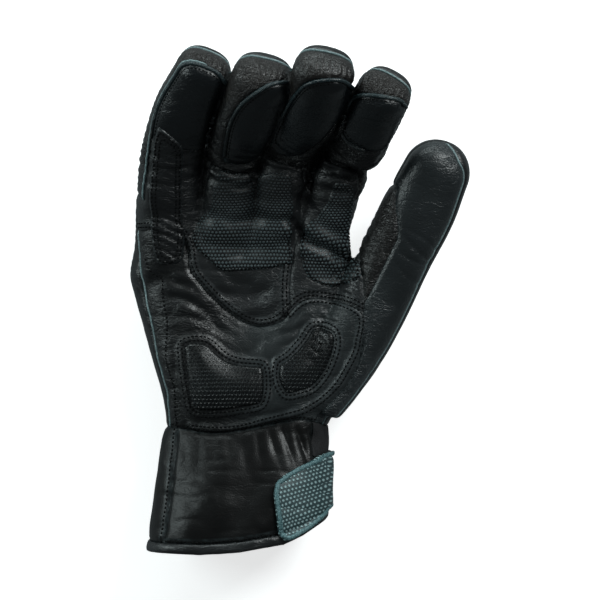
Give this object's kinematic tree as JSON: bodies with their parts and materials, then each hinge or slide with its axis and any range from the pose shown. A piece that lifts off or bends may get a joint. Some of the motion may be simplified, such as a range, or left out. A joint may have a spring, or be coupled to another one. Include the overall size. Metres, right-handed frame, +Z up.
{
  "type": "leather motorcycle glove",
  "caption": "Right-hand short-cuff leather motorcycle glove lying palm up, box-sewn curved fingers, padded heel, strap closure",
  "frame": {"origin": "on the supporting surface, under the middle of the bounding box", "axes": "+Y from the cuff to the fingertips, +X towards the thumb, +Z up from the back of the hand to the palm"},
  "size_m": [0.157, 0.2318, 0.0944],
  "materials": {
    "leather": "satin grained black",
    "strip": "soft matte warm black",
    "pad": "perforated matte black",
    "grip": "dotted grip fabric, dark",
    "strap": "matte dotted grey",
    "elastic": "matte black ribbed"
  },
  "bodies": {
    "root": {"palm_outer": "leather", "palm_inner": "leather", "palm_heel": "leather", "back_panel": "leather", "thumb_front": "leather", "thumb_back": "leather", "cuff_front": "leather", "cuff_side": "leather", "cuff_back": "leather", "hem_binding": "leather", "side_slider": "leather", "thumb_gusset": "strip", "finger_front_little": "leather", "finger_wall_little": "strip", "finger_back_little": "leather", "finger_front_ring": "leather", "finger_wall_ring": "strip", "finger_back_ring": "leather", "finger_front_middle": "leather", "finger_wall_middle": "strip", "finger_back_middle": "leather", "finger_front_index": "leather", "finger_wall_index": "strip", "finger_back_index": "leather", "heel_pad_outer": "pad", "heel_pad_thumb": "pad", "grip_patch_outer": "grip", "grip_patch_index": "grip", "strap_tab": "strap", "wrist_elastic": "elastic"}
  },
  "joints": []
}
